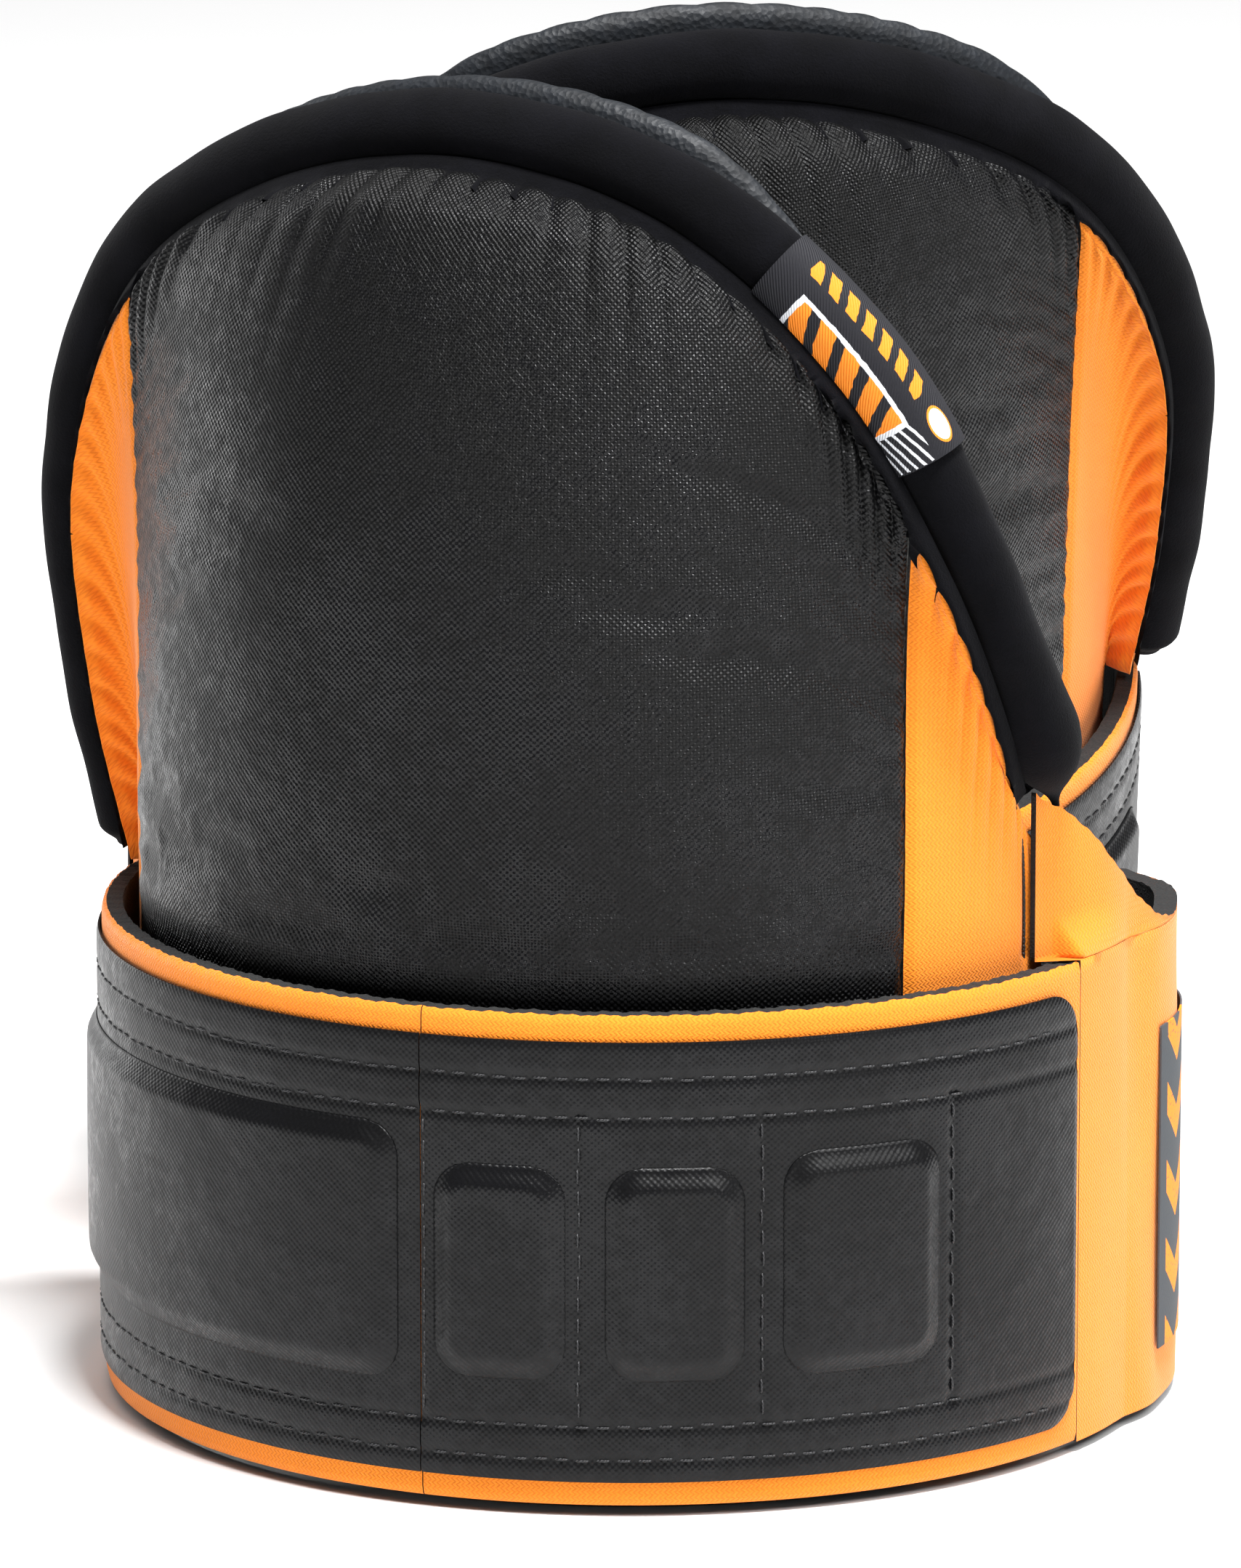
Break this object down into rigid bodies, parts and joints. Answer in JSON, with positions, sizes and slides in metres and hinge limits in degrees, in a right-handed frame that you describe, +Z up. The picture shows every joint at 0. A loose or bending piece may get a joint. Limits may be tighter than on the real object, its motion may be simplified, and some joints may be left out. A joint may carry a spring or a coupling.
{
  "type": "knee pads",
  "caption": "Strap-on knee pads with a coated foam kneeling face, rolled rim, stretch side panels and a wide wrap-around calf strap that opens at the front.",
  "frame": {"origin": "on the floor, under the middle of the pair's outer box", "axes": "+Z up; the left pad's kneeling face looks along -Y; +X is the outer side of the left pad"},
  "size_m": [0.2536, 0.2804, 0.2452],
  "materials": {
    "coated_fabric": "satin black stretch fabric with a rubbery coating over a fine weave",
    "orange_neoprene": "orange knit laminated to black neoprene, matt",
    "binding_fabric": "black brushed stretch knit over a foam roll, very matt",
    "label_fabric": "black woven tape with a plain printed pattern",
    "lining_leather": "charcoal soft leather-look lining with fine grain",
    "foam": "grey open-cell foam",
    "hook_tape": "black hook-and-loop tape",
    "print_grey": "dark grey printed patch, matt"
  },
  "bodies": {
    "left_pad": {"left_kneeling_cover": "coated_fabric", "left_inner_side_panel": "orange_neoprene", "left_outer_side_panel": "orange_neoprene", "left_foam_core": "foam", "left_knee_lining": "lining_leather", "left_base_panel": "coated_fabric", "left_rim_binding": "binding_fabric", "left_rim_label": "label_fabric", "left_outer_wing": "orange_neoprene", "left_wing_print": "print_grey", "left_calf_strap": "orange_neoprene", "left_loop_patch": "hook_tape"},
    "left_strap_inner": {"left_strap_inner_half": "orange_neoprene", "left_strap_inner_skin": "coated_fabric", "left_strap_long_cell": "coated_fabric"},
    "left_strap_tip": {"left_strap_tip_half": "orange_neoprene", "left_strap_tip_skin": "coated_fabric", "left_strap_cell_1": "coated_fabric", "left_strap_cell_2": "coated_fabric", "left_strap_cell_3": "coated_fabric", "left_hook_patch": "hook_tape"},
    "right_pad": {"right_kneeling_cover": "coated_fabric", "right_inner_side_panel": "orange_neoprene", "right_outer_side_panel": "orange_neoprene", "right_foam_core": "foam", "right_knee_lining": "lining_leather", "right_base_panel": "coated_fabric", "right_rim_binding": "binding_fabric", "right_rim_label": "label_fabric", "right_outer_wing": "orange_neoprene", "right_wing_print": "print_grey", "right_calf_strap": "orange_neoprene", "right_loop_patch": "hook_tape"},
    "right_strap_inner": {"right_strap_inner_half": "orange_neoprene", "right_strap_inner_skin": "coated_fabric", "right_strap_long_cell": "coated_fabric"},
    "right_strap_tip": {"right_strap_tip_half": "orange_neoprene", "right_strap_tip_skin": "coated_fabric", "right_strap_cell_1": "coated_fabric", "right_strap_cell_2": "coated_fabric", "right_strap_cell_3": "coated_fabric", "right_hook_patch": "hook_tape"}
  },
  "joints": [
    {"name": "left_strap_open", "type": "hinge", "parent": "left_pad", "child": "left_strap_inner", "pos_m": [-0.07067, -0.04342, 0.045], "axis": [0, 0, -1], "range_deg": [0, 90]},
    {"name": "left_strap_fold", "type": "hinge", "parent": "left_strap_inner", "child": "left_strap_tip", "pos_m": [0.02923, -0.14039, 0.045], "axis": [0, 0, -1], "range_deg": [0, 27]},
    {"name": "pads_apart", "type": "slide", "parent": "left_pad", "child": "right_pad", "axis": [-0.3907, 0.9205, 0], "range_m": [0, 0.4]},
    {"name": "right_strap_open", "type": "hinge", "parent": "right_pad", "child": "right_strap_inner", "pos_m": [0.06623, 0.1224, 0.06743], "axis": [0.1208, -0.2477, 0.9613], "range_deg": [0, 90]},
    {"name": "right_strap_fold", "type": "hinge", "parent": "right_strap_inner", "child": "right_strap_tip", "pos_m": [0.01731, -0.00517, 0.0407], "axis": [0.1208, -0.2477, 0.9613], "range_deg": [0, 27]}
  ],
  "couplings": [
    {"joint": "left_strap_fold", "follows": "left_strap_open", "ratio": 0.3},
    {"joint": "right_strap_open", "follows": "pads_apart", "rad_per_m": 3.925},
    {"joint": "right_strap_fold", "follows": "pads_apart", "rad_per_m": 1.175}
  ]
}
